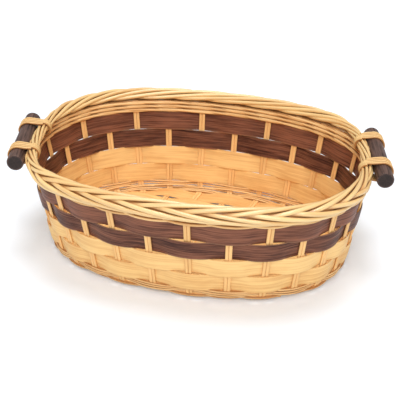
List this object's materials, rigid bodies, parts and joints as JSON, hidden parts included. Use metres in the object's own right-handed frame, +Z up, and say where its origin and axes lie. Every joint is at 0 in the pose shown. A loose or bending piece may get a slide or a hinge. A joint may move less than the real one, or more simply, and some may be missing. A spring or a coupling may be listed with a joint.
{
  "type": "basket",
  "caption": "Oval woven wicker basket with a plaited border, a dark band of wall strips and a wooden dowel handle tied on at each end.",
  "frame": {"origin": "on the floor, in the middle of the oval", "axes": "+X along the long axis of the oval, towards one handle, +Y across it, +Z up"},
  "size_m": [0.4506, 0.32, 0.1358],
  "materials": {
    "stake_cane": "satin",
    "natural_strip": "satin",
    "dark_strip": "satin",
    "round_rod": "satin",
    "border_rod": "satin",
    "binding_cane": "satin",
    "dark_dowel": "satin"
  },
  "bodies": {
    "root": {"cross_stake_1": "stake_cane", "cross_stake_2": "stake_cane", "cross_stake_3": "stake_cane", "cross_stake_4": "stake_cane", "cross_stake_5": "stake_cane", "cross_stake_6": "stake_cane", "cross_stake_7": "stake_cane", "cross_stake_8": "stake_cane", "cross_stake_9": "stake_cane", "end_stake_right_1": "stake_cane", "end_stake_right_2": "stake_cane", "end_stake_right_3": "stake_cane", "end_stake_right_4": "stake_cane", "end_stake_right_5": "stake_cane", "end_stake_right_6": "stake_cane", "end_stake_left_1": "stake_cane", "end_stake_left_2": "stake_cane", "end_stake_left_3": "stake_cane", "end_stake_left_4": "stake_cane", "end_stake_left_5": "stake_cane", "end_stake_left_6": "stake_cane", "wall_strip_1": "natural_strip", "wall_strip_2": "natural_strip", "wall_strip_3": "dark_strip", "wall_strip_4": "dark_strip", "foot_rod_lower_1": "round_rod", "foot_rod_lower_2": "round_rod", "foot_rod_upper_1": "round_rod", "foot_rod_upper_2": "round_rod", "rim_rod_1": "round_rod", "rim_rod_2": "round_rod", "border_plait_leg_1": "border_rod", "border_plait_leg_2": "border_rod", "border_plait_leg_3": "border_rod", "border_plait_leg_4": "border_rod", "border_plait_leg_5": "border_rod", "border_plait_leg_6": "border_rod", "border_plait_leg_7": "border_rod", "handle_dowel_right": "dark_dowel", "handle_dowel_left": "dark_dowel", "handle_binding_right_front": "binding_cane", "handle_binding_right_back": "binding_cane", "handle_binding_left_front": "binding_cane", "handle_binding_left_back": "binding_cane", "base_strip_1": "natural_strip", "base_strip_2": "natural_strip", "base_strip_3": "natural_strip", "base_strip_4": "natural_strip", "base_strip_5": "natural_strip", "base_strip_6": "natural_strip", "base_strip_7": "natural_strip", "base_strip_8": "natural_strip", "base_strip_9": "natural_strip", "base_strip_10": "natural_strip"}
  },
  "joints": []
}
